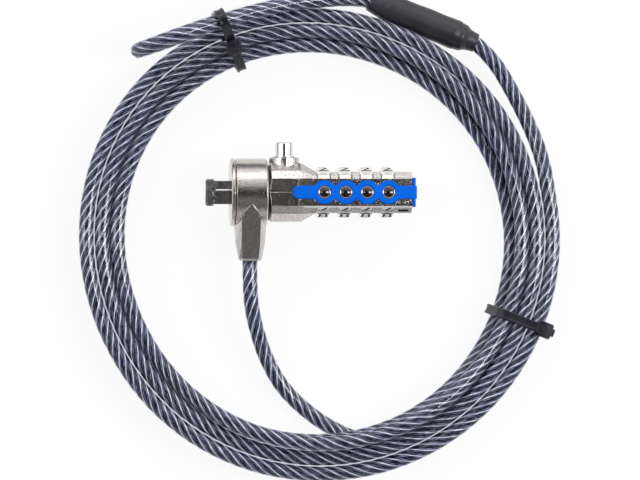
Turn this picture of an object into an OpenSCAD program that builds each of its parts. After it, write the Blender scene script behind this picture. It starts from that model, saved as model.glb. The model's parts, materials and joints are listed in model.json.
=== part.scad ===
// Laptop cable lock: a four-dial combination head with an expanding hook, on a plastic-coated steel cable.
// Millimetres. The barrel lies along X with its nose face at x = 0 and the hook at negative x. +Z is up.

/* [Hook] */
// Height of the slot that the hook fits
slot_h = 7; // [6.6:0.1:7.4]
// How far the hook heads stand past the slot when the hook is spread
hook_spread = 0.94; // [0.6:0.02:1.1]
// How far the hook reaches out of the nose face
hook_out = 7.3; // [6:0.1:9]
// Thickness of the hook's heads along X
hook_head_t = 2.4; // [1.6:0.1:2.8]
// Thickness of both hook blades together
hook_t = 2.6; // [2.2:0.1:2.7]
// Distance of the hook's pivot pin behind the nose face
pivot_x = 5.5; // [5:0.1:6]
// Diameter of the pivot pin
pivot_d = 1.6; // [1.2:0.1:2]
// Angle by which each hook blade closes when the button is pressed
hook_close = 3.4; // [2.5:0.1:3.6]

/* [Nose and swivel ring] */
// Diameter of the nose plate and of the swivel ring
nose_d = 20; // [19:0.1:22]
// Thickness of the nose plate
nose_t = 1; // [0.8:0.1:1.6]
// Length of the swivel ring along the barrel
ring_w = 9.5; // [9:0.1:10.5]
// Outside diameter of the core tube that the ring turns on
core_d = 11; // [10.6:0.1:11.6]
// Thickness of the thrust washer behind the ring
washer_t = 0.35; // [0.25:0.05:0.6]

/* [Boot] */
// Distance of the boot's lower end from the barrel axis
boot_reach = 20.1; // [18:0.1:24]
// Width of the boot's lower end along X
boot_end_w = 6; // [5.8:0.1:7]
// Depth of the boot's lower end along Z
boot_end_t = 6.8; // [6.4:0.1:8]
// Width of the boot where it leaves the ring
boot_top_w = 9.3; // [8.6:0.1:9.4]
// Depth of the boot where it leaves the ring
boot_top_t = 18.8; // [16:0.1:19]

/* [Barrel] */
// Length of the barrel behind the middle of the last dial
barrel_tail = 7.06; // [7:0.02:11]
// Height of the flared front along Y
flare_h = 17.2; // [16.8:0.1:18]
// Length of the flared front before it slopes down
flare_len = 9.3; // [9:0.1:9.6]
// Length of the slope from the flare to the slim part
ramp_len = 4.4; // [3.5:0.1:5]
// Height of the slim part along Y
slim_h = 12.06; // [11.6:0.1:12.6]
// Depth of the barrel over its front and back panels
barrel_depth = 16.6; // [16.4:0.1:18]
// Height of the raised panel along Y
panel_h = 8; // [7.4:0.1:8.4]

/* [Dials] */
// Diameter of each dial
dial_d = 14.6; // [14.2:0.1:14.8]
// Width of each dial
dial_w = 3.8; // [3.2:0.1:4]
// Distance from one dial to the next
dial_pitch = 6.28; // [6.1:0.02:6.5]
// Distance of the first dial behind the nose face
dial_first = 27.15; // [27:0.05:27.6]
// Diameter of the code sleeve inside each dial
sleeve_d = 8.8; // [8.2:0.1:9.2]
// Digits on each dial
digits = 10; // [8:1:12]

/* [Button] */
// Distance of the button behind the nose face
button_x = 15.85; // [15.6:0.05:16.2]
// Diameter of the button
button_d = 5.15; // [4.6:0.05:5.4]
// Distance of the button's top from the barrel axis
button_top = 14.8; // [13.6:0.1:16]
// How far the button travels
button_travel = 1.8; // [1.2:0.1:1.9]
// Diameter of the boss round the button
boss_d = 8.9; // [8.4:0.1:9.1]
// Distance of the boss's top from the barrel axis
boss_top = 10.35; // [10:0.05:11.5]

/* [Spindle] */
// Diameter of the spindle
spindle_d = 3; // [2.6:0.1:3.2]
// Wire diameter of the return spring
spring_wire = 0.4; // [0.3:0.05:0.45]
// Turns of the return spring
spring_turns = 2.5; // [2:0.5:3]

/* [Trim] */
// Height of the trim strip
trim_h = 3.8; // [3:0.1:4.4]
// How far the trim stands out of the panel
trim_proud = 0.35; // [0.2:0.05:0.6]
// Outside diameter of the trim's rings
trim_ring_d = 7; // [6.4:0.1:7.4]
// Diameter of the hole in each ring
trim_hole_d = 3.85; // [3.2:0.05:4.4]
// Thickness of the trim's end plate
end_plate_t = 0.9; // [0.6:0.1:1.4]

/* [Cable] */
// Diameter of the cable over its coating
cable_d = 4.5; // [4:0.1:4.6]
// Distance from one lane of the coil to the next
lane_pitch = 5.05; // [5.05:0.05:5.3]
// Height from one layer of the coil to the next
layer_pitch = 5; // [5:0.05:5.4]
// Radius of the outermost lane where the cable leaves the coil
coil_r = 69.6; // [69:0.1:71]

/* [Cable ends] */
// Length of the shrink sleeve over the crimped ferrule
sleeve_len = 34; // [30:0.5:38]
// Width of the shrink sleeve
sleeve_w = 8.8; // [8.4:0.1:9]
// Length of the crimped ferrule
ferrule_len = 18; // [14:0.5:20]

/* [Cable ties] */
// Width of a tie's strap
strap_w = 2.8; // [2.2:0.1:3.6]
// Thickness of a tie's strap
strap_t = 1; // [0.8:0.05:1.1]

/* [Hidden] */
$fn = 64;

// Colours.
c_metal = "#c9c5bf";
c_steel = "#5c5f66";
c_chrome = "#dcdfe3";
c_blue = "#0a6ce8";
c_dark = "#26282c";
c_cable = "#3a3f55";
c_black = "#1b1b1f";

// Clearances.
running_gap = 0.06;   // radial room of a pin or shaft that turns in a bore
slide_gap = 0.1;      // room beside a piece that slides
seat_gap = 0.1;       // room round a piece seated in a pocket
dial_gap = 0.3;       // room round a dial in its window
strand_gap = 0.3;     // room between a tie and the strands that it holds
eps = 0.01;

// Along the barrel.
ring_x0 = nose_t + 0.2;
ring_x1 = ring_x0 + ring_w;
barrel_x0 = ring_x1 + 0.1 + washer_t + 0.1;
flare_x1 = barrel_x0 + flare_len;
ramp_x1 = flare_x1 + ramp_len;
collar_x0 = barrel_x0 + 0.4;
collar_x1 = collar_x0 + 1.1;
collar_r = core_d / 2 + 1;
chamber_r = collar_r + seat_gap;
chamber_len = 11.35;
bulkhead_x0 = barrel_x0 + chamber_len;
bulkhead_x1 = bulkhead_x0 + 1.4;
function dial_x(i) = dial_first + dial_pitch * i;
DIALS = 4;
barrel_x1 = dial_x(DIALS - 1) + barrel_tail;

// Section of the barrel.
panel_z = barrel_depth / 2;
flare_z = panel_z - 0.2;
panel_bevel = 0.5;
shoulder_y = panel_h / 2 + panel_bevel;
shoulder_z = 6.1;
side_z = 4.9;
sleeve_bore_r = sleeve_d / 2 + 0.2;
dial_slot_r = dial_d / 2 + dial_gap;
dial_slot_w = dial_w + 0.4;
code_len = 5;

// Button, wedge and spindle.
bush_r = button_d / 2 + 0.7;
bush_y0 = 7.6;
flange_r = button_d / 2 + 0.35;
flange_y1 = bush_y0 - slide_gap;
flange_y0 = flange_y1 - 1.2;
leg_t = 1;
leg_z = spindle_d / 2 + 0.25;
leg_front = button_x - 1.6;
leg_back = button_x + 2.3;
leg_tip_y = 0.6;
wedge_gap = 0.14;
wedge_c = leg_back - 2.3 + wedge_gap;    // the spindle's slanted face lies on x - y = wedge_c
well_r = norm([leg_back - button_x, leg_z + leg_t]) + 0.12;
block_z = leg_z + leg_t + 0.15;
block_y = 3.2;
block_back = wedge_c + block_y + 0.2;
spindle_back = dial_x(DIALS - 1) + code_len / 2 + 1.7;
plug_x0 = dial_x(DIALS - 1) + code_len / 2 + 0.4;
blade_t = hook_t / 2 - 0.05;
fin_r = sleeve_bore_r / 2 + 0.05;
fin_t = 0.8;
fin_w = 0.9;
pocket_r = fin_r + 0.15;
pocket_depth = code_len - 1.1;

// Trim.
trim_z0 = flare_z;
trim_z1 = panel_z + trim_proud;
trim_x0 = barrel_x0 + 6.55;
trim_x1 = barrel_x1 + end_plate_t;
stud_d = trim_hole_d - 0.35;

// Surface that the lock lies on.
floor_z = -nose_d / 2;

// ---- Small vector helpers ----
function unit(v) = v / norm(v);
function smooth(t) = let (u = min(1, max(0, t))) u * u * (3 - 2 * u);
function polar(r, a) = [r * cos(a), r * sin(a)];

// Points of a smooth curve through a list of points, with steps points to each span.
function bend(a, b, c, d, t) =
    0.5 * (2 * b + (c - a) * t + (2 * a - 5 * b + 4 * c - d) * t * t + (3 * b - a - 3 * c + d) * t * t * t);
function smooth_route(p, steps) = concat(
    [for (i = [0:len(p) - 2], k = [0:steps - 1])
        bend(p[max(0, i - 1)], p[i], p[i + 1], p[min(len(p) - 1, i + 2)], k / steps)],
    [p[len(p) - 1]]
);

// A tube of one closed polyhedron along a list of points. The first and last rings stand square to the ends.
function ring_at(p, i, r, sides, ref) =
    let (
        t = unit(p[min(len(p) - 1, i + 1)] - p[max(0, i - 1)]),
        u = unit(ref - (ref * t) * t),
        v = cross(t, u)
    )
    [for (k = [0:sides - 1]) p[i] + r * (cos(360 * k / sides) * u + sin(360 * k / sides) * v)];

module tube(p, d, sides, ref = [0, 0, 1]) {
    n = len(p);
    points = [for (i = [0:n - 1]) each ring_at(p, i, d / 2, sides, ref)];
    walls = [for (i = [0:n - 2], k = [0:sides - 1])
        let (a = i * sides + k, b = i * sides + (k + 1) % sides)
        each [[a, b + sides, b], [a, a + sides, b + sides]]];
    first = [for (k = [1:sides - 2]) [0, k, k + 1]];
    last = [for (k = [1:sides - 2]) let (o = (n - 1) * sides) [o, o + k + 1, o + k]];
    polyhedron(points = points, faces = concat(walls, first, last));
}

// ---- Coil ----
// The cable spirals in through the lower layer, climbs where the spiral reverses and spirals out again.
coil_x = 26.1;
coil_y = -14.5;
coil_z = floor_z + strap_t + strand_gap + cable_d / 2;
turn_zero = 278;                 // angle of turn 0 about the coil's centre
turn_in = 22 / 360;              // turn at which the cable joins the coil
turn_reverse = 1.436;            // turn at which the spiral reverses
turn_out = 4.256;                // turn at which the cable leaves the coil
climb = 0.25;                    // half of the climb, in turns
hump_angle = 280;                // the inner lane passes over the lead here
hump_flat = 13;
hump_ramp = 47;
bulge = 2.4;                     // the left tie and the eye draw the coil outwards round this angle
bulge_angle = 140;
bulge_half = 75;
steps_per_turn = 24;
coil_sides = 6;

function fold(x) = abs(x) > climb ? abs(x) : x * x / (2 * climb) + climb / 2;
function lane_angle(turn) = turn_zero + 360 * turn;
function angle_off(turn, middle) = abs((lane_angle(turn) - middle + 540) % 360 - 180);
function lane_r(turn) = coil_r - lane_pitch * ((turn_out - turn_reverse) - fold(turn - turn_reverse))
    + bulge * (1 - smooth(angle_off(turn, bulge_angle) / bulge_half));
function hump(turn) =
    turn < 0.6 || turn > 2.5 ? 0 :
    1 - smooth((angle_off(turn, hump_angle) - hump_flat) / hump_ramp);
function lane_z(turn) = coil_z + layer_pitch * (smooth((turn - turn_reverse) / (2 * climb) + 0.5) + hump(turn));
function coil_at(turn) = let (c = polar(lane_r(turn), lane_angle(turn)))
    [coil_x + c.x, coil_y + c.y, lane_z(turn)];
coil_steps = ceil((turn_out - turn_in) * steps_per_turn);
coil_lanes = [for (i = [0:coil_steps]) coil_at(turn_in + (turn_out - turn_in) * i / coil_steps)];
small = 0.001;
coil_in_dir = unit(coil_at(turn_in + small) - coil_at(turn_in));
coil_out_dir = unit(coil_at(turn_out) - coil_at(turn_out - small));
coil_start = coil_lanes[0] - cable_d * coil_in_dir;
coil_end = coil_lanes[coil_steps] + cable_d * coil_out_dir;
coil_points = concat([coil_start], coil_lanes, [coil_end]);

// Least gap of the coil to itself, measured between points half a step apart and at least half a turn away.
function finer(p) = concat([for (i = [0:len(p) - 2]) each [p[i], (p[i] + p[i + 1]) / 2]], [p[len(p) - 1]]);
coil_fine = finer(coil_points);
coil_gap = min([for (i = [0:len(coil_fine) - 1], j = [i + steps_per_turn:1:len(coil_fine) - 1])
    norm(coil_fine[i] - coil_fine[j])]) - cable_d;
function path_length(p) = len(p) < 2 ? 0 : [for (i = 1, s = norm(p[1] - p[0]); i < len(p);
    i = i + 1, s = s + (i < len(p) ? norm(p[i] - p[i - 1]) : 0)) s][len(p) - 2];

// ---- Free stretches of the cable ----
cable_x = ring_x0 + ring_w / 2 - 0.15;
lead_exit = [cable_x, -boot_reach, 0];
lead_route = [
    lead_exit - [0, cable_d, 0],
    [6.3, -33, -0.6],
    [8.1, -41, -2],
    [11, -49, -3.8],
    [15.6, -57, -5.5],
    [22, -63.6, -6.5],
    [29.6, -69, coil_z],
    [38.2, -72.8, coil_z],
    [46, -73, coil_z],
    coil_start - cable_d * coil_in_dir
];
sleeve_at = [73.1, 44.3, floor_z + 5.2];
sleeve_turn = 158.5;
sleeve_dir = [cos(sleeve_turn), sin(sleeve_turn), 0];
ferrule_start = 8;
eye_start = ferrule_start + ferrule_len;
strand_z = cable_d / 2 + 0.05;
function along_sleeve(s, dz = 0) = sleeve_at + s * sleeve_dir + [0, 0, dz];
tail_route = [
    coil_end + cable_d * coil_out_dir,
    [91.8, 12, -2.2],
    [89.2, 19, -3.2],
    [84.6, 28.5, -4.2],
    [79, 38, sleeve_at.z],
    along_sleeve(0)
];
eye_tie = [-3.1, 50];             // the left tie holds both sides of the eye here
eye_route = [
    along_sleeve(sleeve_len + 1, strand_z),
    [33.5, 57.3, -0.6],
    [25.5, 56.6, 1.4],
    [16.5, 55.2, 3.2],
    [6.7, 52.8, 5.2],
    [eye_tie.x, eye_tie.y, 7.4],
    [-10.4, 47.6, 9.4],
    [-16.5, 45.4, 10.6],
    [-21.6, 43.5, 9.9],
    [-25.6, 42.1, 7],
    [-27.2, 41.5, 2.6],
    [-26, 41.9, -2],
    [-22.6, 43.1, -5.6],
    [-17.4, 45, -7.3],
    [-10.4, 47.6, -7.2],
    [eye_tie.x, eye_tie.y, coil_z],
    [6.7, 52.8, -7.1],
    [16.5, 55.2, -7.6],
    [25.5, 56.6, -7.5],
    [33.5, 57.3, sleeve_at.z - strand_z],
    along_sleeve(sleeve_len + 1, -strand_z)
];
free_sides = 8;
lead_points = concat([lead_exit], smooth_route(lead_route, 2), [coil_start]);
tail_points = concat([coil_end], smooth_route(tail_route, 2), [along_sleeve(ferrule_start)]);
eye_points = concat([along_sleeve(eye_start, strand_z)], smooth_route(eye_route, 2),
    [along_sleeve(eye_start, -strand_z)]);
echo(coil_least_gap = coil_gap);
echo(cable_length = path_length(lead_points) + path_length(coil_points) + path_length(tail_points)
    + path_length(eye_points) + ferrule_len);

// ---- Shape helpers ----
module along_x(x0, x1) {
    translate([x0, 0, 0])
        rotate([90, 0, 90])
            linear_extrude(x1 - x0)
                children();
}
module rod_x(x0, x1, r) {
    translate([x0, 0, 0])
        rotate([0, 90, 0])
            cylinder(h = x1 - x0, r = r);
}
module rod_y(y0, y1, r) {
    translate([0, y0, 0])
        rotate([-90, 0, 0])
            cylinder(h = y1 - y0, r = r);
}
// A solid turned about the X axis from a profile of [x, r] points.
module turned_x(profile) {
    rotate([90, 0, 90])
        rotate_extrude($fn = 96)
            polygon([for (p = profile) [p[1], p[0]]]);
}

// ---- Hook, core and swivel ----
channel_h = slot_h + 0.6;
channel_t = hook_t + 0.2;

module core_tube() {
    color(c_metal)
        difference() {
            turned_x([
                [0, 0], [0, nose_d / 2 - 0.3], [0.3, nose_d / 2], [nose_t, nose_d / 2],
                [nose_t, core_d / 2], [collar_x0 + seat_gap, core_d / 2], [collar_x0 + seat_gap, collar_r],
                [collar_x1, collar_r], [collar_x1, 0]
            ]);
            translate([-eps, -channel_h / 2, -channel_t / 2])
                cube([collar_x1 + 2 * eps, channel_h, channel_t]);
            translate([pivot_x, 0, -core_d])
                cylinder(h = 2 * core_d, r = pivot_d / 2);
        }
}

neck_h = slot_h / 2 - 0.05;
head_h = (slot_h + hook_spread) / 2;
tail_x1 = pivot_x + 5.1;
tail_y = 0.95;
pivot_boss_r = 2.2;
function boss_arc(a0, a1) = [for (k = [0:8])
    let (a = a0 + (a1 - a0) * k / 8) [pivot_x + pivot_boss_r * cos(a), pivot_boss_r * sin(a)]];
module hook_outline() {
    head_x0 = -hook_out;
    head_x1 = -hook_out + hook_head_t;
    difference() {
        polygon(concat(
            [[head_x0, -1], [head_x0 + 0.3, -1.3], [head_x1, -1.3], [head_x1, -0.6]],
            boss_arc(180 + asin(0.6 / pivot_boss_r), 270),
            [[tail_x1 - 0.5, -2.4], [tail_x1, -2], [tail_x1, -tail_y]],
            boss_arc(-asin(tail_y / pivot_boss_r), 90),
            [[pivot_x - 2, neck_h], [head_x1, neck_h], [head_x1, head_h],
                [head_x0 + 0.5, head_h], [head_x0, head_h - 0.5]]
        ));
        translate([pivot_x, 0])
            circle(r = pivot_d / 2 + running_gap);
    }
}
module hook_blade_front() {
    color(c_steel)
        translate([0, 0, 0.05])
            linear_extrude(blade_t)
                hook_outline();
}
module hook_blade_back() {
    color(c_steel)
        mirror([0, 0, 1])
            mirror([0, 1, 0])
                translate([0, 0, 0.05])
                    linear_extrude(blade_t)
                        hook_outline();
}
module hook_pin() {
    half = core_d / 2 - 0.2;
    color(c_chrome)
        translate([pivot_x, 0, -half])
            cylinder(h = 2 * half, r = pivot_d / 2);
}
module thrust_washer() {
    color(c_dark)
        difference() {
            rod_x(ring_x1 + 0.1, ring_x1 + 0.1 + washer_t, core_d / 2 + 2.7);
            rod_x(ring_x1, ring_x1 + 1, core_d / 2 + 0.05);
        }
}

// Eight-sided slab of the boot, thin along Y. facet is the width of its front and back faces,
// and side is the depth of its left and right faces.
module boot_slab(y, w, t, facet, side) {
    translate([cable_x, y, 0])
        rotate([90, 0, 0])
            linear_extrude(0.1, center = true)
                polygon([for (s = [1, -1]) each [
                    [s * w / 2, -s * side / 2], [s * w / 2, s * side / 2],
                    [s * facet / 2, s * t / 2], [-s * facet / 2, s * t / 2]
                ]]);
}
// Sections of the boot from the ring to its end: distance from the axis, width, depth, front facet, side facet.
boot_top_y = 3.5;
boot_slope = (boot_top_t - boot_end_t) / (boot_reach - boot_top_y);
function boot_depth(y) = boot_end_t + boot_slope * (boot_reach - y);
boot_sections = [
    [boot_top_y, boot_top_w, boot_top_t, 0.3, 3],
    [boot_top_y + 1.9, boot_top_w, boot_depth(boot_top_y + 1.9), 3.4, 5.2],
    [boot_top_y + 4.4, boot_top_w, boot_depth(boot_top_y + 4.4), 5.5, 6.6],
    [boot_reach - 5.6, boot_top_w - 0.7, boot_depth(boot_reach - 5.6), 5.4, 5.4],
    [boot_reach - 0.7, boot_end_w + 0.7, boot_depth(boot_reach - 0.7), 4.7, 4.9],
    [boot_reach - 0.05, boot_end_w, boot_end_t - 0.6, 4.2, 4.2]
];
anchor_d = 5.2;
anchor_y = -boot_reach + 2.4;
module swivel_ring() {
    chamfer = 0.4;
    r = nose_d / 2;
    color(c_metal)
        difference() {
            union() {
                turned_x([
                    [ring_x0, 0], [ring_x0, r - chamfer], [ring_x0 + chamfer, r],
                    [ring_x1 - chamfer, r], [ring_x1, r - chamfer], [ring_x1, 0]
                ]);
                for (i = [0:len(boot_sections) - 2])
                    hull() {
                        for (b = [boot_sections[i], boot_sections[i + 1]])
                            boot_slab(-b[0], b[1], b[2], b[3], b[4]);
                    }
            }
            rod_x(ring_x0 - 1, ring_x1 + 1, core_d / 2 + running_gap);
            translate([cable_x, 0, 0])
                rod_y(-boot_reach - 1, -core_d / 2 - 3, cable_d / 2 + 0.05);
            translate([cable_x, 0, 0])
                rod_y(anchor_y - eps, -core_d / 2 - 4, anchor_d / 2);
        }
}
module cable_anchor() {
    color(c_chrome)
        translate([cable_x, 0, 0]) {
            rod_y(anchor_y, -core_d / 2 - 4.2, anchor_d / 2);
            rod_y(-boot_reach, anchor_y + eps, cable_d / 2);
        }
}

// ---- Barrel ----
module flare_outline() {
    y = flare_h / 2;
    polygon([for (s = [[1, 1], [-1, -1]]) each [
        [s[0] * y, -s[1] * 3], [s[0] * y, s[1] * 3],
        [s[0] * (y - 2.3), s[1] * 6.6], [s[0] * 4, s[1] * flare_z],
        [-s[0] * 4, s[1] * flare_z], [-s[0] * (y - 2.3), s[1] * 6.6]
    ]]);
}
module slim_outline() {
    y = slim_h / 2;
    polygon([for (s = [[1, 1], [-1, -1]]) each [
        [s[0] * y, -s[1] * side_z], [s[0] * y, s[1] * side_z],
        [s[0] * (shoulder_y + 0.1), s[1] * shoulder_z], [s[0] * 3, s[1] * (shoulder_z + 0.6)],
        [-s[0] * 3, s[1] * (shoulder_z + 0.6)], [-s[0] * (shoulder_y + 0.1), s[1] * shoulder_z]
    ]]);
}
module panel_outline() {
    y = panel_h / 2;
    polygon([for (s = [1, -1]) each [
        [s * y, s * panel_z], [-s * y, s * panel_z],
        [-s * (y + panel_bevel), s * (panel_z - 0.9)], [-s * (y + panel_bevel), 0]
    ]]);
}
module mark_cut(grow = 0) {
    slope = atan2(shoulder_z - side_z, slim_h / 2 - shoulder_y - 0.1);
    translate([(dial_x(DIALS - 1) + dial_slot_w / 2 + barrel_x1) / 2, -(shoulder_y + slim_h / 2 + 0.1) / 2,
        (shoulder_z + side_z) / 2])
        rotate([slope, 0, 0])
            cube([3 + grow, 0.6 + grow, 0.3 + grow], center = true);
}
ball_r = 0.6;
ball_orbit = (sleeve_bore_r + dial_slot_r) / 2;
function ball_x(i) = dial_x(i) - dial_slot_w / 2 - ball_r - 0.05;
front_pin_r = 0.4;
front_pin_half = 2.6;
rear_pin_r = 0.6;
rear_pin_half = 3;
rear_pin_z = 6.7;
pin_places = [
    [barrel_x0 + flare_len + front_pin_r + 0.3, flare_z - front_pin_r - 0.3, front_pin_r, front_pin_half],
    [barrel_x1 - rear_pin_r - 1.1, rear_pin_z, rear_pin_r, rear_pin_half]
];

module barrel_body() {
    difference() {
        union() {
            along_x(barrel_x0 + 0.5, flare_x1)
                flare_outline();
            hull() {
                along_x(barrel_x0, barrel_x0 + eps)
                    intersection() {
                        flare_outline();
                        circle(r = flare_h / 2 - 0.5, $fn = 48);
                    }
                along_x(barrel_x0 + 0.5, barrel_x0 + 0.6)
                    flare_outline();
            }
            hull() {
                along_x(flare_x1 - eps, flare_x1)
                    flare_outline();
                along_x(ramp_x1, ramp_x1 + eps)
                    slim_outline();
            }
            along_x(ramp_x1, barrel_x1)
                slim_outline();
            along_x(flare_x1 - 0.9, barrel_x1)
                panel_outline();
            translate([button_x, 0, 0])
                rod_y(2, boss_top - 0.3, boss_d / 2);
            translate([button_x, boss_top - 0.3 - eps, 0])
                rotate([-90, 0, 0])
                    rotate_extrude()
                        polygon([[0, 0], [boss_d / 2, 0], [boss_d / 2 - 0.3, 0.3], [0, 0.3]]);
        }
        // Core collar, mechanism chamber and the wall behind it.
        rod_x(barrel_x0 - 1, collar_x0 + eps, core_d / 2 + seat_gap);
        rod_x(collar_x0, bulkhead_x0, chamber_r);
        rod_x(bulkhead_x0 - 1, bulkhead_x1 + 1, spindle_d / 2 + running_gap);
        // Sleeves and dials.
        rod_x(bulkhead_x1, barrel_x1 + 1, sleeve_bore_r);
        for (i = [0:DIALS - 1]) {
            rod_x(dial_x(i) - dial_slot_w / 2, dial_x(i) + dial_slot_w / 2, dial_slot_r);
            translate([0, 0, -ball_orbit])
                rod_x(ball_x(i) - ball_r - 0.4, dial_x(i), ball_r + 0.03);
        }
        // Button and its bush.
        translate([button_x, 0, 0]) {
            rod_y(bush_y0, boss_top + 1, bush_r);
            rod_y(2, bush_y0 + eps, well_r);
        }
        // Trim, its rings and the mark.
        for (s = [1, -1])
            translate([0, 0, s > 0 ? trim_z0 : -trim_z0 - 5])
                linear_extrude(5)
                    trim_outline(seat_gap / 2);
        mark_cut();
        for (p = pin_places, s = [1, -1])
            translate([p[0], 0, s * p[1]])
                rod_y(-p[3], p[3], p[2]);
    }
}
module half_space(side) {
    translate([-nose_d, side > 0 ? 0 : -4 * nose_d, -4 * nose_d])
        cube([10 * nose_d, 4 * nose_d, 8 * nose_d]);
}
module shell_upper() {
    color(c_metal)
        intersection() {
            barrel_body();
            half_space(1);
        }
}
module shell_lower() {
    color(c_metal)
        intersection() {
            barrel_body();
            half_space(-1);
        }
}
module shell_pins() {
    color(c_chrome)
        for (p = pin_places, s = [1, -1])
            translate([p[0], 0, s * p[1]])
                rod_y(-p[3] + 0.1, p[3] - 0.1, p[2]);
}
module end_plug() {
    color(c_steel)
        difference() {
            rod_x(plug_x0, barrel_x1, sleeve_bore_r - 0.03);
            rod_x(plug_x0 - 1, spindle_back + button_travel + 0.3, spindle_d / 2 + running_gap);
        }
}
module index_mark() {
    color(c_dark)
        mark_cut(-0.04);
}

// ---- Trim ----
module trim_outline(grow = 0) {
    difference() {
        union() {
            translate([trim_x0 + trim_h / 2, -trim_h / 2 - grow])
                square([barrel_x1 - trim_x0, trim_h + 2 * grow]);
            translate([trim_x0 + trim_h / 2, 0])
                circle(r = trim_h / 2 + grow);
            for (i = [0:DIALS - 1])
                translate([dial_x(i), 0])
                    circle(r = trim_ring_d / 2 + grow);
        }
        translate([barrel_x1 + end_plate_t / 2, -nose_d / 2])
            square([nose_d, nose_d]);
    }
}
module trim_clip() {
    plate_h = panel_h + 0.6;
    color(c_blue)
        difference() {
            union() {
                for (s = [1, -1])
                    translate([0, 0, s > 0 ? trim_z0 : -trim_z1])
                        linear_extrude(trim_z1 - trim_z0)
                            trim_outline();
                translate([barrel_x1, -plate_h / 2, -trim_z1])
                    cube([end_plate_t, plate_h, 2 * trim_z1]);
                translate([barrel_x1 + end_plate_t - eps, -trim_h / 2, -trim_z1])
                    cube([0.35, trim_h, 2 * trim_z1]);
            }
            for (i = [0:DIALS - 1])
                translate([dial_x(i), 0, -2 * trim_z1])
                    cylinder(h = 4 * trim_z1, r = trim_hole_d / 2);
        }
}
// Domed studs in the rings, four in front and four behind.
module trim_studs() {
    base = 0.25;
    rise = 0.6;
    r = stud_d / 2;
    dome_r = (r * r + rise * rise) / (2 * rise);
    color(c_dark)
        for (i = [0:DIALS - 1], s = [0, 1])
            translate([dial_x(i), 0, 0])
                mirror([0, 0, s])
                    translate([0, 0, trim_z0]) {
                        cylinder(h = base, r = r);
                        intersection() {
                            translate([0, 0, base + rise - dome_r])
                                sphere(r = dome_r, $fn = 48);
                            translate([0, 0, base - eps])
                                cylinder(h = rise + 1, r = r);
                        }
                    }
}

// ---- Dials ----
first_groove = -52;              // angle of a groove from +Z towards -Y
module dial(i) {
    r = dial_d / 2;
    w = dial_w / 2;
    edge = 0.25;
    color(c_metal)
        translate([dial_x(i), 0, 0])
            difference() {
                turned_x([
                    [-w, sleeve_d / 2], [-w, r - edge], [-w + edge, r],
                    [w - edge, r], [w, r - edge], [w, sleeve_d / 2]
                ]);
                for (k = [0:digits - 1])
                    rotate([first_groove + 360 * k / digits, 0, 0])
                        translate([0, 0, r + 0.25])
                            rod_x(-w - 1, w + 1, 0.55);
                for (k = [0:digits - 1])
                    rotate([360 * k / digits, 0, 0])
                        translate([0, 0, -ball_orbit])
                            rod_x(-w - 1, -w + 0.12, 0.35);
            }
}
module code_sleeve(i) {
    hub_r = sleeve_d / 2 - 1;
    half = code_len / 2;
    color(c_steel)
        translate([dial_x(i), 0, 0])
            difference() {
                union() {
                    rod_x(-dial_w / 2, dial_w / 2, sleeve_d / 2, $fn = 96);
                    rod_x(-half, half, hub_r);
                }
                rod_x(-half - 1, -half + pocket_depth, pocket_r);
                rod_x(-half, half + 1, spindle_d / 2 + running_gap);
                translate([0, -fin_w / 2 - 0.1, 0])
                    cube([half + 1, fin_w + 0.2, pocket_r]);
            }
}
module detent_balls() {
    color(c_chrome)
        for (i = [0:DIALS - 1])
            translate([ball_x(i), 0, -ball_orbit])
                sphere(r = ball_r, $fn = 32);
}

// ---- Button and spindle ----
module button() {
    r = button_d / 2;
    round_r = 0.6;
    color(c_chrome)
        translate([button_x, 0, 0])
            union() {
                rotate([-90, 0, 0])
                    rotate_extrude($fn = 96)
                        polygon(concat(
                            [[0, flange_y0], [flange_r, flange_y0], [flange_r, flange_y1], [r, flange_y1]],
                            [for (a = [0:15:90])
                                [r - round_r + round_r * cos(a), button_top - round_r + round_r * sin(a)]],
                            [[0, button_top]]
                        ));
                for (s = [1, -1])
                    translate([-button_x, 0, s > 0 ? leg_z : -leg_z - leg_t])
                        linear_extrude(leg_t)
                            polygon([
                                [leg_front + 0.2, flange_y0 + eps], [leg_back, flange_y0 + eps],
                                [leg_back, leg_back - wedge_c + wedge_gap],
                                [leg_tip_y + wedge_c - wedge_gap, leg_tip_y],
                                [leg_front + 0.6, leg_tip_y], [leg_front + 0.2, leg_tip_y + 0.6]
                            ]);
            }
}
module button_bush() {
    color(c_chrome)
        translate([button_x, 0, 0])
            difference() {
                rod_y(bush_y0, boss_top + 0.3, bush_r);
                rod_y(bush_y0 - 1, boss_top + 2, button_d / 2 + running_gap);
            }
}
module spindle() {
    r = spindle_d / 2;
    tip_x = pivot_x + 3.1;
    wide_x = tip_x + 2.2;
    blade_end = leg_front;
    color(c_steel)
        union() {
            translate([0, 0, -blade_t])
                linear_extrude(2 * blade_t)
                    polygon([
                        [tip_x, -0.25], [wide_x, -0.8], [blade_end, -0.8],
                        [blade_end, 0.8], [wide_x, 0.8], [tip_x, 0.25]
                    ]);
            rod_x(blade_end - 0.6, spindle_back, r);
            translate([0, 0, -block_z])
                linear_extrude(2 * block_z)
                    polygon([
                        [wedge_c, -block_y], [block_back, -block_y], [block_back, block_y],
                        [wedge_c + block_y, block_y], [wedge_c, 0]
                    ]);
            for (i = [0:DIALS - 1])
                intersection() {
                    rod_x(dial_x(i) - 1.6, dial_x(i) - 1.6 + fin_t, fin_r);
                    translate([dial_x(i) - 5, -fin_w / 2, 0])
                        cube([10, fin_w, 10]);
                }
        }
}
module spindle_spring() {
    x0 = block_back + 0.05 + spring_wire / 2;
    x1 = bulkhead_x0 - 0.05 - spring_wire / 2;
    steps = 12;
    mean_r = spindle_d / 2 + spring_wire / 2 + 0.3;
    n = round(spring_turns * steps);
    color(c_chrome)
        tube([for (i = [0:n]) let (a = 360 * i / steps) [x0 + (x1 - x0) * i / n, mean_r * cos(a), mean_r * sin(a)]],
            spring_wire, 6, [1, 0, 0]);
}

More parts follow.
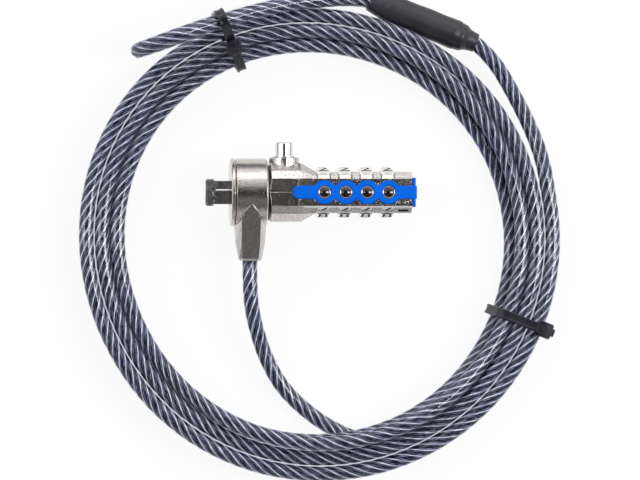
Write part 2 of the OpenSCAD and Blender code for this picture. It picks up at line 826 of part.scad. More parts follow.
// ---- Cable ----
module cable_lead() {
    color(c_cable)
        tube(lead_points, cable_d, free_sides);
}
module cable_coil() {
    color(c_cable)
        tube(coil_points, cable_d, coil_sides);
}
module cable_tail() {
    color(c_cable)
        tube(tail_points, cable_d, free_sides);
}
module cable_eye() {
    color(c_cable)
        tube(eye_points, cable_d, free_sides, [0.4, 0.92, 0]);
}

// Places a shape that is drawn along X onto the shrink sleeve's axis.
module on_sleeve() {
    translate(sleeve_at)
        rotate([0, 0, sleeve_turn])
            children();
}
// Round disc of the sleeve, stretched upwards by half_gap each way.
module sleeve_disc(s, r, half_gap) {
    for (dz = [-half_gap, half_gap])
        translate([0, 0, dz])
            rod_x(s, s + eps, r, $fn = 32);
}
ferrule_r = 2.9;
ferrule_half = 1.9;
module ferrule_shape(x0, x1) {
    hull() {
        for (dz = [-ferrule_half, ferrule_half])
            translate([0, 0, dz])
                rod_x(x0, x1, ferrule_r, $fn = 32);
    }
}
module crimp_ferrule() {
    color(c_metal)
        on_sleeve()
            ferrule_shape(ferrule_start, eye_start);
}
module shrink_sleeve() {
    thick_r = sleeve_w / 2;
    thick_half = -floor_z + sleeve_at.z - thick_r;
    neck_r = cable_d / 2 + 0.6;
    color(c_black)
        on_sleeve()
            difference() {
                union() {
                    hull() {
                        sleeve_disc(0, neck_r, 0);
                        sleeve_disc(2.4, neck_r + 0.5, 0.2);
                    }
                    hull() {
                        sleeve_disc(2.4, neck_r + 0.5, 0.2);
                        sleeve_disc(6, thick_r, thick_half);
                    }
                    hull() {
                        sleeve_disc(6, thick_r, thick_half);
                        sleeve_disc(sleeve_len - 6, thick_r - 0.2, thick_half + 0.2);
                    }
                    hull() {
                        sleeve_disc(sleeve_len - 6, thick_r - 0.2, thick_half + 0.2);
                        sleeve_disc(sleeve_len, neck_r, strand_z - 0.3);
                    }
                }
                rod_x(-1, ferrule_start + eps, cable_d / 2 + 0.02);
                ferrule_shape(ferrule_start, eye_start);
                for (dz = [-strand_z, strand_z])
                    translate([0, 0, dz])
                        rod_x(eye_start - eps, sleeve_len + 1, cable_d / 2 + 0.02);
            }
}

// ---- Cable ties ----
// A tie stands in the plane through the coil's centre at one angle. strands are [radius, height] pairs.
module tie_loop(strands, grow) {
    hull()
        for (s = strands)
            translate(s)
                circle(r = cable_d / 2 + grow, $fn = 32);
}
// The head sits on the strap where the strap runs at the angle lean, and the cut tail sticks out of it.
tie_head = [3.4, 3, 4.6];
tie_stub = 1.5;
module tie(angle, strands, seat, lean) {
    translate([coil_x, coil_y, 0])
        rotate([0, 0, angle])
            rotate([90, 0, 0])
                union() {
                    translate([0, 0, -strap_w / 2])
                        linear_extrude(strap_w)
                            difference() {
                                tie_loop(strands, strand_gap + strap_t);
                                tie_loop(strands, strand_gap);
                            }
                    translate(seat)
                        rotate([0, 0, lean]) {
                            translate([-tie_head.x / 2, -strap_t / 2, -tie_head.z / 2])
                                cube([tie_head.x, tie_head.y, tie_head.z]);
                            translate([0, tie_head.y / 2, -strap_w / 2 + 0.2])
                                cube([tie_head.x / 2 + tie_stub, strap_t, strap_w - 0.4]);
                        }
                }
}
// Radius and height of each pass of the coil at an angle, on the true curve and on the drawn chords.
chord_sag = coil_r * (1 - cos(180 / steps_per_turn));
function passes_at(angle) = [for (k = [0:4])
    let (turn = (angle - turn_zero) / 360 + k)
    if (turn > turn_in && turn < turn_out) each [
        [lane_r(turn) - chord_sag, lane_z(turn)],
        [lane_r(turn), lane_z(turn)]
    ]];
tie_left_angle = 114;
tie_right_angle = 338.7;
eye_at_tie = norm(eye_tie - [coil_x, coil_y]);
left_strands = concat(passes_at(tie_left_angle), [[eye_at_tie, coil_z], [eye_at_tie, 7.8]]);
right_strands = passes_at(tie_right_angle);
strap_r = cable_d / 2 + strand_gap + strap_t / 2;
// The left head lies on the sloping run from the eye down to the inner lane.
left_lean = atan2(7.8 - left_strands[2].y, eye_at_tie - left_strands[2].x);
left_seat = ([eye_at_tie, 7.8] + left_strands[2]) / 2 + strap_r * [-sin(left_lean), cos(left_lean)];
// The right head lies where the strap turns down over the outer lane.
right_lean = -40;
right_seat = right_strands[len(right_strands) - 1] + strap_r * [-sin(right_lean), cos(right_lean)];
module tie_left() {
    color(c_black)
        tie(tie_left_angle, left_strands, left_seat, left_lean);
}
module tie_right() {
    color(c_black)
        tie(tie_right_angle, right_strands, right_seat, right_lean);
}

core_tube();
hook_blade_front();
hook_blade_back();
hook_pin();
thrust_washer();
swivel_ring();
cable_anchor();
shell_upper();
shell_lower();
shell_pins();
end_plug();
index_mark();
trim_clip();
trim_studs();
dial(0);  // dial_1
dial(1);  // dial_2
dial(2);  // dial_3
dial(3);  // dial_4
code_sleeve(0);  // code_sleeve_1
code_sleeve(1);  // code_sleeve_2
code_sleeve(2);  // code_sleeve_3
code_sleeve(3);  // code_sleeve_4
detent_balls();
spindle();
spindle_spring();
button();
button_bush();
cable_lead();
cable_coil();
cable_tail();
cable_eye();
crimp_ferrule();
shrink_sleeve();
tie_left();
tie_right();
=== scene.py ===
import itertools
import json
import math

import bmesh
import bpy
import numpy as np
from mathutils import Matrix, Vector


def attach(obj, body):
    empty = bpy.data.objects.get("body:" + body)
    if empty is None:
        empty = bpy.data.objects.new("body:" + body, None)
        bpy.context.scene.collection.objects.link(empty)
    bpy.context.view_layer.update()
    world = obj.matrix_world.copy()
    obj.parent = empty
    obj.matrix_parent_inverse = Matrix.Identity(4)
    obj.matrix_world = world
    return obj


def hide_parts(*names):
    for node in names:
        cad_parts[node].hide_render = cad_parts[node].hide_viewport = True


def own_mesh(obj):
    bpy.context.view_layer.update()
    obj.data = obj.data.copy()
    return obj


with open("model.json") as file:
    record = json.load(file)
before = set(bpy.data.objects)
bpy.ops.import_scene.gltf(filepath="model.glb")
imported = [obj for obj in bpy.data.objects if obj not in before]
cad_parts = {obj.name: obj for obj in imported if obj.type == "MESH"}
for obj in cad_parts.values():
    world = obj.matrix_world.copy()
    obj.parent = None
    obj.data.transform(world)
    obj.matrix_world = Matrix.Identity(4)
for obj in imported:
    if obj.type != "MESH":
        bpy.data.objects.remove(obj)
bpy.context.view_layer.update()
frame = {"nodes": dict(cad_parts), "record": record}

scene = bpy.context.scene
NODES = frame["nodes"]
MM = 0.001
FLOOR_Z = -10.0

# ---------------------------------------------------------------- camera
CAMERA_TILT = math.radians(4.5)   # towards the hook's side
CAMERA_DISTANCE = 1.4
CLIP_END = 20
PICTURE_WIDTH = 640
PIXELS_PER_MM = 3.4
VIEW_WIDTH_MM = PICTURE_WIDTH / PIXELS_PER_MM
SENSOR_MM = 36
AIM = Vector((26.47, -13.97, 0)) * MM


def make_camera():
    right = Vector((math.cos(CAMERA_TILT), 0, math.sin(CAMERA_TILT)))
    back = Vector((-math.sin(CAMERA_TILT), 0, math.cos(CAMERA_TILT)))
    data = bpy.data.cameras.new("camera")
    data.sensor_width = SENSOR_MM
    data.lens = SENSOR_MM * CAMERA_DISTANCE / (VIEW_WIDTH_MM * MM)
    data.clip_end = CLIP_END
    camera = bpy.data.objects.new("camera", data)
    scene.collection.objects.link(camera)
    turn = Matrix((right, Vector((0, 1, 0)), back)).transposed().to_4x4()
    camera.matrix_world = Matrix.Translation(AIM + back * CAMERA_DISTANCE) @ turn
    scene.camera = camera


make_camera()

# ---------------------------------------------------------------- the cable's route, as in the part's source
CABLE_D = 4.5
STRAP_T = 1.0
STRAP_W = 2.8
STRAND_GAP = 0.3
COIL = (26.1, -14.5)
COIL_Z = FLOOR_Z + STRAP_T + STRAND_GAP + CABLE_D / 2
COIL_R = 69.6
LANE_PITCH = 4.56        # the strands lie a little closer than the solids' lanes
LAYER_PITCH = 5.0
TURN_ZERO = 278          # angle of turn 0 about the coil's centre
TURN_IN = 22 / 360       # turn at which the cable joins the coil
TURN_REVERSE = 1.436     # turn at which the spiral reverses
TURN_OUT = 4.256         # turn at which the cable leaves the coil
CLIMB = 0.25             # half of the climb, in turns
COIL_STEPS = 480
SMALL_TURN = 0.001
# The lanes between these turns pass over the lead.
HUMP_FROM, HUMP_TO = 0.6, 2.5
HUMP_ANGLE, HUMP_FLAT, HUMP_RAMP = 280, 13, 47
# The left tie and the eye draw the coil outwards round this angle.
BULGE, BULGE_ANGLE, BULGE_HALF = 2.4, 140, 75
CABLE_X = 5.8
BOOT_REACH = 20.1
SAME_STEP = 1e-6         # points of the route that are nearer than this are one point


def smooth(t):
    """0 up to t = 0, 1 from t = 1 on, and an even slope between."""
    u = min(1, max(0, t))
    return u * u * (3 - 2 * u)


def fold(x):
    """The distance from the turn where the spiral reverses, rounded off there."""
    return abs(x) if abs(x) > CLIMB else x * x / (2 * CLIMB) + CLIMB / 2


def lane_angle(turn):
    return TURN_ZERO + 360 * turn


def angle_off(turn, middle):
    return abs((lane_angle(turn) - middle + 540) % 360 - 180)


def lane_r(turn):
    spiral = COIL_R - LANE_PITCH * ((TURN_OUT - TURN_REVERSE) - fold(turn - TURN_REVERSE))
    return spiral + BULGE * (1 - smooth(angle_off(turn, BULGE_ANGLE) / BULGE_HALF))


def hump(turn):
    if turn < HUMP_FROM or turn > HUMP_TO:
        return 0
    return 1 - smooth((angle_off(turn, HUMP_ANGLE) - HUMP_FLAT) / HUMP_RAMP)


def lane_z(turn):
    return COIL_Z + LAYER_PITCH * (smooth((turn - TURN_REVERSE) / (2 * CLIMB) + 0.5) + hump(turn))


def coil_at(turn):
    a = math.radians(lane_angle(turn))
    r = lane_r(turn)
    return np.array([COIL[0] + r * math.cos(a), COIL[1] + r * math.sin(a), lane_z(turn)])


def unit(v):
    v = np.asarray(v, float)
    return v / np.linalg.norm(v)


def smooth_route(points, steps=12):
    """A smooth curve through the points, with steps parts between two of them."""
    p = [np.array(q, float) for q in points]
    out = []
    for i in range(len(p) - 1):
        a, b, c, d = p[max(0, i - 1)], p[i], p[i + 1], p[min(len(p) - 1, i + 2)]
        for k in range(steps):
            t = k / steps
            out.append(0.5 * (2 * b + (c - a) * t + (2 * a - 5 * b + 4 * c - d) * t * t
                              + (3 * b - a - 3 * c + d) * t ** 3))
    return out + [p[-1]]


SLEEVE_AT = np.array([73.1, 44.3, FLOOR_Z + 5.2])
SLEEVE_TURN = math.radians(158.5)
SLEEVE_LEN = 34.0
SLEEVE_DIR = np.array([math.cos(SLEEVE_TURN), math.sin(SLEEVE_TURN), 0])
STRAND_Z = CABLE_D / 2 + 0.05
EYE_TIE = (-3.1, 50)      # the left tie holds both sides of the eye here
SLEEVE_CROSS_AT, SLEEVE_CROSS_LEN = 10, 14    # the tail rises to the eye's upper leg here


def along_sleeve(s, dz=0.0):
    return SLEEVE_AT + s * SLEEVE_DIR + np.array([0, 0, dz])


def cable_route():
    """The cable's middle line: lead, coil and tail, through the sleeve, round the eye and back into it."""
    coil_in = unit(coil_at(TURN_IN + SMALL_TURN) - coil_at(TURN_IN))
    coil_out = unit(coil_at(TURN_OUT) - coil_at(TURN_OUT - SMALL_TURN))
    coil_start = coil_at(TURN_IN) - CABLE_D * coil_in
    coil_end = coil_at(TURN_OUT) + CABLE_D * coil_out
    lead_exit = np.array([CABLE_X, -BOOT_REACH, 0])
    lead = smooth_route([
        lead_exit - (0, CABLE_D, 0),
        (6.3, -33, -0.6), (8.1, -41, -2), (11, -49, -3.8), (15.6, -57, -5.5),
        (22, -63.6, -6.5), (29.6, -69, COIL_Z), (38.2, -72.8, COIL_Z), (46, -73, COIL_Z),
        coil_start - CABLE_D * coil_in,
    ])
    coil = [coil_at(TURN_IN + (TURN_OUT - TURN_IN) * i / COIL_STEPS) for i in range(COIL_STEPS + 1)]
    tail = smooth_route([
        coil_end + CABLE_D * coil_out,
        (91.8, 12, -2.2), (89.2, 19, -3.2), (84.6, 28.5, -4.2), (79, 38, SLEEVE_AT[2]),
        along_sleeve(0),
    ])
    eye = smooth_route([
        along_sleeve(SLEEVE_LEN + 1, STRAND_Z),
        (33.5, 57.3, -0.6), (25.5, 56.6, 1.4), (16.5, 55.2, 3.2), (6.7, 52.8, 5.2),
        (*EYE_TIE, 7.4), (-10.4, 47.6, 9.4), (-16.5, 45.4, 10.6), (-21.6, 43.5, 9.9),
        (-25.6, 42.1, 7), (-27.2, 41.5, 2.6), (-26, 41.9, -2), (-22.6, 43.1, -5.6),
        (-17.4, 45, -7.3), (-10.4, 47.6, -7.2), (*EYE_TIE, COIL_Z), (6.7, 52.8, -7.1),
        (16.5, 55.2, -7.6), (25.5, 56.6, -7.5), (33.5, 57.3, SLEEVE_AT[2] - STRAND_Z),
        along_sleeve(SLEEVE_LEN + 1, -STRAND_Z),
    ])
    inside = [along_sleeve(s, STRAND_Z * smooth((s - SLEEVE_CROSS_AT) / SLEEVE_CROSS_LEN))
              for s in np.arange(3, 32, 3)]
    back = [along_sleeve(s, -STRAND_Z) for s in np.arange(32, 27, -2)]
    return np.array([lead_exit] + lead + [coil_start] + coil + [coil_end] + tail + inside + eye + back)


def resample(points, step):
    """Points at equal distances along a route, and those distances."""
    gaps = np.linalg.norm(np.diff(points, axis=0), axis=1)
    keep = np.concatenate([[True], gaps > SAME_STEP])
    points = points[keep]
    s = np.concatenate([[0], np.cumsum(np.linalg.norm(np.diff(points, axis=0), axis=1))])
    count = int(round(s[-1] / step))
    at = np.linspace(0, s[-1], count + 1)
    return np.stack([np.interp(at, s, points[:, k]) for k in range(3)], axis=1), at


def relax(points, rounds):
    """Rounds off the joins between stretches, with both ends held."""
    p = points.copy()
    for _ in range(rounds):
        p[1:-1] = (p[:-2] + 2 * p[1:-1] + p[2:]) / 4
    return p


def normals_along(points):
    """Two normals at each point, carried along without twist."""
    t = np.gradient(points, axis=0)
    t /= np.linalg.norm(t, axis=1)[:, None]
    u = np.zeros_like(t)
    u[0] = unit(np.cross(t[0], [0, 0, 1]))
    for i in range(1, len(t)):
        v = u[i - 1] - np.dot(u[i - 1], t[i]) * t[i]
        u[i] = v / np.linalg.norm(v)
    return u, np.cross(t, u)


# ---------------------------------------------------------------- mesh helpers
SAME_POINT = 0.002 * MM
DOUBLED = 1e-7            # points of one mesh that are nearer than this, in metres, are one point


def add_object(name, mesh, smooth_faces=True):
    if smooth_faces:
        mesh.polygons.foreach_set("use_smooth", [True] * len(mesh.polygons))
    obj = bpy.data.objects.new(name, mesh)
    scene.collection.objects.link(obj)
    return obj


def sweep_mesh(name, rings, closed_path=False, uv=None):
    """A skin over rings of points. rings is an array of shape (stations, sides, 3) in millimetres."""
    n, m, _ = rings.shape
    verts = rings.reshape(-1, 3) * MM
    faces = []
    last = n if closed_path else n - 1
    for i in range(last):
        a, b = i * m, ((i + 1) % n) * m
        for k in range(m):
            k1 = (k + 1) % m
            faces.append((a + k, a + k1, b + k1, b + k))
    if not closed_path:
        faces.append(tuple(range(m - 1, -1, -1)))
        faces.append(tuple(range((n - 1) * m, n * m)))
    mesh = bpy.data.meshes.new(name)
    mesh.from_pydata(verts.tolist(), [], faces)
    mesh.update()
    if uv is not None:
        layer = mesh.uv_layers.new(name="UVMap")
        us, vs = uv
        data = np.zeros((len(mesh.loops), 2))
        j = 0
        for i in range(last):
            for k in range(m):
                u0, u1, v0, v1 = us[k], us[k + 1], vs[i], vs[i + 1]
                data[j:j + 4] = ((u0, v0), (u1, v0), (u1, v1), (u0, v1))
                j += 4
        layer.data.foreach_set("uv", data.ravel())
    return mesh


def box_mesh(name, size, bevel, segments=3):
    bm = bmesh.new()
    bmesh.ops.create_cube(bm, size=1)
    bmesh.ops.scale(bm, vec=Vector(size) * MM, verts=bm.verts)
    bmesh.ops.bevel(bm, geom=bm.edges[:], offset=bevel * MM, segments=segments, affect="EDGES")
    mesh = bpy.data.meshes.new(name)
    bm.to_mesh(mesh)
    bm.free()
    return mesh


def write_clean(bm, mesh):
    """Writes bm to mesh without doubled points and faces of no area, then frees bm."""
    bmesh.ops.remove_doubles(bm, verts=bm.verts[:], dist=SAME_POINT)
    bmesh.ops.dissolve_degenerate(bm, edges=bm.edges[:], dist=SAME_POINT)
    bmesh.ops.triangulate(bm, faces=[f for f in bm.faces if len(f.verts) > 4])
    bm.to_mesh(mesh)
    bm.free()


def join(name, objects):
    """Makes one object of several."""
    target = objects[0]
    with bpy.context.temp_override(active_object=target, selected_editable_objects=objects,
                                   selected_objects=objects):
        bpy.ops.object.join()
    target.name = name
    return target


# ---------------------------------------------------------------- materials
LAY = 23.0                # length in which a strand goes once round the cable
LOBES = 6
STREAKS_ACROSS, STREAKS_ALONG = 10.0, 380.0      # fine wires: waves a strand, waves a metre
COAT_SHINE, COAT_RIM_SHINE, COAT_RIM_POWER = 0.045, 0.22, 4
BEVEL_SAMPLES = 6
MIX_FACTOR, MIX_A, MIX_B, MIX_COLOUR = 0, 6, 7, 2    # a colour mix's sockets, by number


def material(name, **sockets):
    mat = bpy.data.materials.new(name)
    mat.use_nodes = True
    shader = mat.node_tree.nodes["Principled BSDF"]
    for key, value in sockets.items():
        shader.inputs[key.replace("_", " ")].default_value = value
    return mat, mat.node_tree, shader


def node(tree, kind, **settings):
    n = tree.nodes.new(kind)
    for key, value in settings.items():
        if key in n.inputs:
            n.inputs[key].default_value = value
        else:
            setattr(n, key, value)
    return n


def noise_node(tree, scale, detail=2.0, rough=0.5):
    """Noise in the part's own coordinates, with scale in cycles a metre."""
    coords = node(tree, "ShaderNodeTexCoord")
    n = node(tree, "ShaderNodeTexNoise", Scale=scale, Detail=detail, Roughness=rough)
    tree.links.new(coords.outputs["Object"], n.inputs["Vector"])
    return n


def ramp(tree, source, stops):
    r = node(tree, "ShaderNodeValToRGB")
    elements = r.color_ramp.elements
    while len(elements) < len(stops):
        elements.new(0.5)
    for e, (at, colour) in zip(elements, stops):
        e.position = at
        e.color = (*colour, 1)
    tree.links.new(source, r.inputs["Fac"])
    return r


def span(tree, source, low, high, from_low=0.3, from_high=0.7):
    """Carries source from its own span over to low and high."""
    m = node(tree, "ShaderNodeMapRange")
    m.inputs["From Min"].default_value = from_low
    m.inputs["From Max"].default_value = from_high
    m.inputs["To Min"].default_value = low
    m.inputs["To Max"].default_value = high
    tree.links.new(source, m.inputs["Value"])
    return m.outputs["Result"]


def bump(tree, shader, height, strength, distance, edge=0.0):
    """Raises the surface by height, and rounds its edges to the eye by edge metres."""
    b = node(tree, "ShaderNodeBump", Strength=strength, Distance=distance)
    tree.links.new(height, b.inputs["Height"])
    if edge:
        bevel = node(tree, "ShaderNodeBevel", samples=BEVEL_SAMPLES, Radius=edge)
        tree.links.new(bevel.outputs["Normal"], b.inputs["Normal"])
    tree.links.new(b.outputs["Normal"], shader.inputs["Normal"])


def metal(name, low, high, rough, grain_scale=9000, grain=0.25, grain_depth=0.00003, edge=0.00015, patch=160,
          uneven=0.12):
    """Cast or turned metal: fine grain in colour and height, with slow patches of shine."""
    mat, tree, shader = material(name, Metallic=1.0)
    fine = noise_node(tree, grain_scale, 1, 0.6)
    slow = noise_node(tree, patch, 3, 0.5)
    colour = ramp(tree, fine.outputs["Fac"], [(0.36, low), (0.62, high)])
    tree.links.new(colour.outputs["Color"], shader.inputs["Base Color"])
    tree.links.new(span(tree, slow.outputs["Fac"], rough * (1 - uneven), rough * (1 + uneven)),
                   shader.inputs["Roughness"])
    bump(tree, shader, fine.outputs["Fac"], grain, grain_depth, edge)
    return mat


def plastic(name, low, high, rough, scale=3000, depth=0.00002, strength=0.15, edge=0.0001, shine=0.5):
    """Moulded or painted skin: fine grain in height, with slow patches of colour and shine."""
    mat, tree, shader = material(name, Specular_IOR_Level=shine)
    fine = noise_node(tree, scale, 3, 0.6)
    slow = noise_node(tree, scale / 15, 2, 0.5)
    colour = ramp(tree, slow.outputs["Fac"], [(0.3, low), (0.7, high)])
    tree.links.new(colour.outputs["Color"], shader.inputs["Base Color"])
    tree.links.new(span(tree, slow.outputs["Fac"], rough * 0.85, rough * 1.2), shader.inputs["Roughness"])
    bump(tree, shader, fine.outputs["Fac"], strength, depth, edge)
    return mat


def math_node(tree, operation, a, b=None):
    n = node(tree, "ShaderNodeMath", operation=operation)
    for k, value in enumerate((a, b)):
        if isinstance(value, (int, float)):
            n.inputs[k].default_value = value
        elif value is not None:
            tree.links.new(value, n.inputs[k])
    return n.outputs[0]


def uv_parts(tree):
    """U and V of the surface."""
    coords = node(tree, "ShaderNodeTexCoord")
    parts = node(tree, "ShaderNodeSeparateXYZ")
    tree.links.new(coords.outputs["UV"], parts.inputs["Vector"])
    return parts.outputs["X"], parts.outputs["Y"]


def wire_material():
    """Twisted strands of fine wire, with a painted highlight along each strand's crest and painted shade in
    the grooves between strands. U counts strands and V is the length in metres.
    """
    mat, tree, shader = material("wire_strands", Specular_IOR_Level=0.12)
    u, v = uv_parts(tree)
    streak_at = node(tree, "ShaderNodeCombineXYZ")
    tree.links.new(math_node(tree, "MULTIPLY", u, STREAKS_ACROSS), streak_at.inputs["X"])
    tree.links.new(math_node(tree, "MULTIPLY", v, STREAKS_ALONG), streak_at.inputs["Y"])
    streak = node(tree, "ShaderNodeTexNoise", Scale=1.0, Detail=3.0, Roughness=0.65)
    tree.links.new(streak_at.outputs[0], streak.inputs["Vector"])
    cast = noise_node(tree, 25, 1, 0.5)
    flank = ramp(tree, cast.outputs["Fac"], [(0.35, (0.006, 0.005, 0.018)), (0.65, (0.002, 0.007, 0.038))])
    wires = ramp(tree, streak.outputs["Fac"], [(0.49, (0, 0, 0)), (0.58, (0.26, 0.27, 0.37))])
    across = math_node(tree, "FRACT", u)
    # Painted shade: the strands' colour falls to black towards the grooves between them.
    back = ramp(tree, across, [(0.05, (0, 0, 0)), (0.2, (1, 1, 1)), (0.8, (1, 1, 1)), (0.95, (0, 0, 0))])
    # Painted highlight: a bright line on each strand's crest, its brightness broken up by the streaks,
    # stands in for the lamps' reflection on the strands.
    painted_highlight = ramp(tree, across, [(0.4, (0, 0, 0)), (0.45, (1, 1, 1)), (0.55, (1, 1, 1)), (0.6, (0, 0, 0))])
    painted_highlight_strength = ramp(tree, streak.outputs["Fac"], [(0.42, (0.35, 0.37, 0.46)), (0.58, (1, 1, 1))])

    def mixed(kind, a, b):
        n = node(tree, "ShaderNodeMix", data_type="RGBA", blend_type=kind, clamp_result=True)
        n.inputs[MIX_FACTOR].default_value = 1.0
        tree.links.new(a, n.inputs[MIX_A])
        tree.links.new(b, n.inputs[MIX_B])
        return n.outputs[MIX_COLOUR]

    wired = mixed("ADD", flank.outputs["Color"], wires.outputs["Color"])
    # The strands' colour, with the painted shade in the grooves.
    body = mixed("MULTIPLY", wired, back.outputs["Color"])
    # The painted highlight line, laid over the strands' colour.
    line = mixed("MULTIPLY", painted_highlight.outputs["Color"], painted_highlight_strength.outputs["Color"])
    tree.links.new(mixed("ADD", body, line), shader.inputs["Base Color"])
    tree.links.new(span(tree, streak.outputs["Fac"], 0.3, 0.5), shader.inputs["Roughness"])
    bump(tree, shader, streak.outputs["Fac"], 0.3, 0.00008)
    return mat


def jacket_material():
    """Clear smoky coating: a thin skin that mirrors and lets the strands show."""
    mat = bpy.data.materials.new("clear_jacket")
    mat.use_nodes = True
    tree = mat.node_tree
    out = tree.nodes["Material Output"]
    tree.nodes.remove(tree.nodes["Principled BSDF"])
    clear = node(tree, "ShaderNodeBsdfTransparent")
    haze = noise_node(tree, 220, 2, 0.5)
    tint = ramp(tree, haze.outputs["Fac"], [(0.3, (0.86, 0.86, 0.92)), (0.7, (0.9, 0.91, 0.95))])
    tree.links.new(tint.outputs["Color"], clear.inputs["Color"])
    gloss = node(tree, "ShaderNodeBsdfGlossy", Roughness=0.1)
    gloss.inputs["Color"].default_value = (0.97, 0.98, 1, 1)
    u, v = uv_parts(tree)
    laid = math_node(tree, "SUBTRACT", u, math_node(tree, "MULTIPLY", v, 1 / (LAY * MM)))
    ridges = math_node(tree, "SINE", math_node(tree, "MULTIPLY", 2 * math.pi * LOBES, laid))
    lift = node(tree, "ShaderNodeBump", Strength=0.1, Distance=0.00004)
    tree.links.new(ridges, lift.inputs["Height"])
    tree.links.new(lift.outputs["Normal"], gloss.inputs["Normal"])
    slant = node(tree, "ShaderNodeLayerWeight", Blend=0.5)
    mix = node(tree, "ShaderNodeMixShader")
    rim = math_node(tree, "POWER", slant.outputs["Facing"], COAT_RIM_POWER)
    tree.links.new(span(tree, rim, COAT_SHINE, COAT_RIM_SHINE, 0, 1), mix.inputs["Fac"])
    tree.links.new(clear.outputs[0], mix.inputs[1])
    tree.links.new(gloss.outputs[0], mix.inputs[2])
    tree.links.new(mix.outputs[0], out.inputs["Surface"])
    return mat


NICKEL = metal("satin_nickel", (0.38, 0.35, 0.335), (0.74, 0.71, 0.685), 0.1, grain_scale=4400, grain=1.0,
               grain_depth=0.00004, edge=0.00015)
DIAL_METAL = metal("dial_nickel", (0.8, 0.79, 0.78), (0.93, 0.92, 0.91), 0.18, grain_scale=4500,
                   edge=0.00012)
DARK_STEEL = metal("dark_steel", (0.26, 0.25, 0.255), (0.7, 0.68, 0.69), 0.2, grain_scale=3400, grain=1.0,
                   grain_depth=0.00005, edge=0.0004)
BRIGHT_STEEL = metal("bright_steel", (0.5, 0.5, 0.51), (0.62, 0.62, 0.63), 0.22, edge=0)
RIM_STEEL = metal("rim_steel", (0.5, 0.49, 0.48), (0.6, 0.59, 0.58), 0.1, grain=0.1, edge=0)
CHROME = metal("polished_chrome", (0.74, 0.73, 0.72), (0.8, 0.79, 0.78), 0.17, grain=0.15, edge=0.0002)
DARK_CHROME = metal("dark_chrome", (0.06, 0.05, 0.05), (0.11, 0.095, 0.095), 0.12, grain=0.03, edge=0)
BLUE = plastic("blue_plastic", (0.0003, 0.113, 0.63), (0.0006, 0.127, 0.71), 0.4, edge=0.0006, shine=0.06)
MARK = plastic("mark_paint", (0.006, 0.006, 0.007), (0.014, 0.014, 0.015), 0.7, edge=0, shine=0.1)
SHRINK = plastic("shrink_black", (0.011, 0.01, 0.015), (0.024, 0.022, 0.031), 0.42, scale=1200, strength=0.3,
                 depth=0.00008, edge=0)
NYLON = plastic("black_nylon", (0.006, 0.005, 0.011), (0.016, 0.015, 0.026), 0.2, scale=1500, edge=0.0003)
WIRE = wire_material()
JACKET = jacket_material()

LOOKS = {
    "satin_nickel": NICKEL, "dial_metal": DIAL_METAL, "dark_steel": DARK_STEEL, "spring_steel": BRIGHT_STEEL,
    "button_chrome": CHROME, "dark_chrome": DARK_CHROME, "blue_trim": BLUE, "mark_paint": MARK,
    "cable": WIRE, "shrink_black": SHRINK, "black_nylon": NYLON,
}


def set_material(obj, mat):
    """Gives obj one material."""
    obj.data.materials.clear()
    obj.data.materials.append(mat)


for part in frame["record"]["subparts"]:
    set_material(NODES[part["node"]], LOOKS[part["material_slot"]])


def dress(obj, mat, slot, body, *replaced):
    """Makes obj a piece of the part: its material, its body and the CAD pieces it stands for. slot is not
    used.
    """
    set_material(obj, mat)
    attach(obj, body)
    if replaced:
        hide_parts(*replaced)
    return obj


# ---------------------------------------------------------------- softened mouldings
SHARP_EDGE = math.radians(50)
FLAT_ANGLE = math.radians(0.5)
ROUNDING_SEGMENTS = 3
TRIM_ROUNDING = 0.3


def softened(name, source, width):
    """A copy of a CAD piece with its sharp edges rounded by width millimetres."""
    bm = bmesh.new()
    bm.from_mesh(source.data)
    bmesh.ops.remove_doubles(bm, verts=bm.verts[:], dist=DOUBLED)
    bmesh.ops.dissolve_limit(bm, angle_limit=FLAT_ANGLE, verts=bm.verts[:], edges=bm.edges[:])
    sharp = [e for e in bm.edges if len(e.link_faces) == 2 and e.calc_face_angle() > SHARP_EDGE]
    bmesh.ops.bevel(bm, geom=sharp, offset=width * MM, segments=ROUNDING_SEGMENTS, profile=0.5,
                    affect="EDGES", clamp_overlap=True)
    mesh = bpy.data.meshes.new(name)
    write_clean(bm, mesh)
    obj = add_object(name, mesh, False)
    obj.matrix_world = source.matrix_world.copy()
    return obj


dress(softened("trim_moulding", NODES["trim_clip"], TRIM_ROUNDING), BLUE, "blue_trim", "barrel", "trim_clip")

# ---------------------------------------------------------------- cut copies of CAD pieces
DIAL_X = [27.15 + 6.28 * i for i in range(4)]
# The dial windows are open up to the panel: the solids leave a skin of up to 0.18 mm there.
WINDOW_R = 7.86
WINDOW_HALF = 2.12
WINDOW_SIDES = 96
# The front blade is stepped, so that the back one shows beside it.
HEAD_END_X, HEAD_BACK_X, NECK_END_X = -9, -4.9, 0.5
STEP_LOW_Y, NECK_EDGE_Y, HEAD_EDGE_Y = -5, 0.9, -1.1
STEP_SLOPE_X, STEP_SLOPE_Y = 0.9, 0.7
STEP_HEIGHT = 2


def prism(name, outline, low, high):
    """A closed block over an outline in X and Y, from low to high in Z, in millimetres."""
    n = len(outline)
    verts = [Vector((x, y, z)) * MM for z in (low, high) for x, y in outline]
    sides = [(k, (k + 1) % n, n + (k + 1) % n, n + k) for k in range(n)]
    mesh = bpy.data.meshes.new(name)
    mesh.from_pydata(verts, [], [tuple(range(n))[::-1], tuple(range(n, 2 * n))] + sides)
    return add_object(name, mesh, False)


def cut_copy(name, source, cutter):
    """A copy of a CAD piece without what lies inside the cutter."""
    obj = add_object(name, source.data.copy(), False)
    obj.matrix_world = source.matrix_world.copy()
    cut = obj.modifiers.new("cut", "BOOLEAN")
    cut.operation, cut.solver, cut.object = "DIFFERENCE", "EXACT", cutter
    bpy.context.view_layer.update()
    mesh = bpy.data.meshes.new_from_object(obj.evaluated_get(bpy.context.evaluated_depsgraph_get()))
    bm = bmesh.new()
    bm.from_mesh(mesh)
    write_clean(bm, mesh)
    obj.modifiers.clear()
    obj.data = mesh
    return obj


